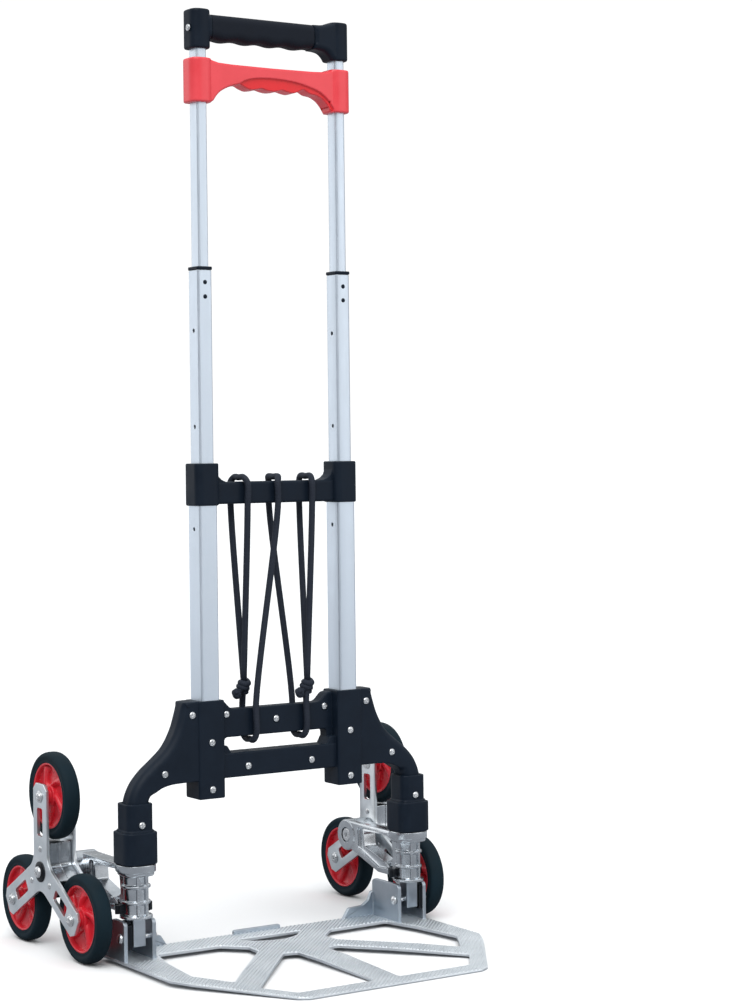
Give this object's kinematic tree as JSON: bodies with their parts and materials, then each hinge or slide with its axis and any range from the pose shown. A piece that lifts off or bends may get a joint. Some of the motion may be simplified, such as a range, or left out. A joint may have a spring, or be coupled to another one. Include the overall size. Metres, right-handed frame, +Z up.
{
  "type": "stair climbing trolley",
  "caption": "Folding hand trolley with a telescopic pull handle, tri-star stair climbing wheel sets, a hinged windowed toe plate and a black elastic cord.",
  "frame": {"origin": "middle of the footprint on the ground, under the centre of the overall bounding box", "axes": "+X across the trolley to its left as the user stands behind it, +Y rearwards towards the wheels, +Z up along the telescopic columns"},
  "size_m": [0.5036, 0.485, 1.074],
  "materials": {
    "aluminium_tube": "satin anodised",
    "aluminium_cast": "polished casting",
    "steel": "zinc plated",
    "black_plastic": "moulded satin",
    "grip": "soft matte",
    "red_plastic": "semi gloss",
    "tyre": "matte rubber",
    "cord": "braided"
  },
  "bodies": {
    "base": {"base_shell_front": "black_plastic", "base_shell_rear": "black_plastic", "bridge_clamp": "black_plastic", "elastic_cord": "cord", "outer_tube_left": "aluminium_tube", "outer_tube_right": "aluminium_tube", "sleeve_left": "black_plastic", "sleeve_right": "black_plastic", "post_left": "steel", "post_right": "steel"},
    "middle_stage": {"middle_tube_left": "aluminium_tube", "middle_tube_right": "aluminium_tube", "stage_ring_left": "black_plastic", "stage_ring_right": "black_plastic", "middle_guide_left": "black_plastic", "middle_guide_right": "black_plastic"},
    "upper_stage": {"top_handle": "black_plastic", "top_grip": "grip", "upper_tube_left": "aluminium_tube", "upper_tube_right": "aluminium_tube", "upper_guide_left": "black_plastic", "upper_guide_right": "black_plastic"},
    "release": {"release_handle": "red_plastic", "release_rod_left": "steel", "release_rod_right": "steel"},
    "arm_left": {"wheel_arm_left": "aluminium_cast", "star_bolt_left": "steel"},
    "star_left": {"star_plate_outer_left": "aluminium_cast", "star_plate_inner_left": "aluminium_cast", "star_block_left": "aluminium_cast", "wheel_bolt_top_left": "steel", "wheel_bolt_rear_left": "steel", "wheel_bolt_front_left": "steel"},
    "wheel_top_left": {"tyre_top_left": "tyre", "rim_top_left": "red_plastic"},
    "wheel_rear_left": {"tyre_rear_left": "tyre", "rim_rear_left": "red_plastic"},
    "wheel_front_left": {"tyre_front_left": "tyre", "rim_front_left": "red_plastic"},
    "arm_right": {"wheel_arm_right": "aluminium_cast", "star_bolt_right": "steel"},
    "star_right": {"star_plate_outer_right": "aluminium_cast", "star_plate_inner_right": "aluminium_cast", "star_block_right": "aluminium_cast", "wheel_bolt_top_right": "steel", "wheel_bolt_rear_right": "steel", "wheel_bolt_front_right": "steel"},
    "wheel_top_right": {"tyre_top_right": "tyre", "rim_top_right": "red_plastic"},
    "wheel_rear_right": {"tyre_rear_right": "tyre", "rim_rear_right": "red_plastic"},
    "wheel_front_right": {"tyre_front_right": "tyre", "rim_front_right": "red_plastic"},
    "toe": {"toe_plate": "aluminium_cast", "pivot_pin_left": "steel", "pivot_pin_right": "steel"}
  },
  "joints": [
    {"name": "middle_slide", "type": "slide", "parent": "base", "child": "middle_stage", "axis": [0, 0, 1], "range_m": [-0.218, 0]},
    {"name": "upper_slide", "type": "slide", "parent": "middle_stage", "child": "upper_stage", "axis": [0, 0, 1], "range_m": [-0.184, 0]},
    {"name": "release_pull", "type": "slide", "parent": "upper_stage", "child": "release", "axis": [0, 0, 1], "range_m": [0, 0.01], "stiffness_N_per_m": 800, "springref_m": -0.012},
    {"name": "toe_fold", "type": "hinge", "parent": "base", "child": "toe", "pos_m": [0, 0, 0.032], "axis": [-1, 0, 0], "range_deg": [0, 90]},
    {"name": "arm_swivel_left", "type": "hinge", "parent": "base", "child": "arm_left", "pos_m": [-0.186, 0, 0.08], "axis": [0, 0, -1], "range_deg": [0, 50]},
    {"name": "arm_swivel_right", "type": "hinge", "parent": "base", "child": "arm_right", "pos_m": [0.186, 0, 0.08], "axis": [0, 0, 1], "range_deg": [0, 50]},
    {"name": "star_spin_left", "type": "hinge", "parent": "arm_left", "child": "star_left", "pos_m": [-0.227, 0.118, 0.093], "axis": [1, 0, 0], "continuous": true},
    {"name": "star_spin_right", "type": "hinge", "parent": "arm_right", "child": "star_right", "pos_m": [0.227, 0.118, 0.093], "axis": [1, 0, 0], "continuous": true},
    {"name": "wheel_spin_top_left", "type": "hinge", "parent": "star_left", "child": "wheel_top_left", "pos_m": [-0.227, 0.118, 0.179], "axis": [1, 0, 0], "continuous": true},
    {"name": "wheel_spin_rear_left", "type": "hinge", "parent": "star_left", "child": "wheel_rear_left", "pos_m": [-0.227, 0.19248, 0.05], "axis": [1, 0, 0], "continuous": true},
    {"name": "wheel_spin_front_left", "type": "hinge", "parent": "star_left", "child": "wheel_front_left", "pos_m": [-0.227, 0.04352, 0.05], "axis": [1, 0, 0], "continuous": true},
    {"name": "wheel_spin_top_right", "type": "hinge", "parent": "star_right", "child": "wheel_top_right", "pos_m": [0.227, 0.118, 0.179], "axis": [1, 0, 0], "continuous": true},
    {"name": "wheel_spin_rear_right", "type": "hinge", "parent": "star_right", "child": "wheel_rear_right", "pos_m": [0.227, 0.19248, 0.05], "axis": [1, 0, 0], "continuous": true},
    {"name": "wheel_spin_front_right", "type": "hinge", "parent": "star_right", "child": "wheel_front_right", "pos_m": [0.227, 0.04352, 0.05], "axis": [1, 0, 0], "continuous": true}
  ],
  "couplings": [
    {"joint": "arm_swivel_left", "follows": "toe_fold", "ratio": 0.555},
    {"joint": "arm_swivel_right", "follows": "toe_fold", "ratio": 0.555}
  ]
}
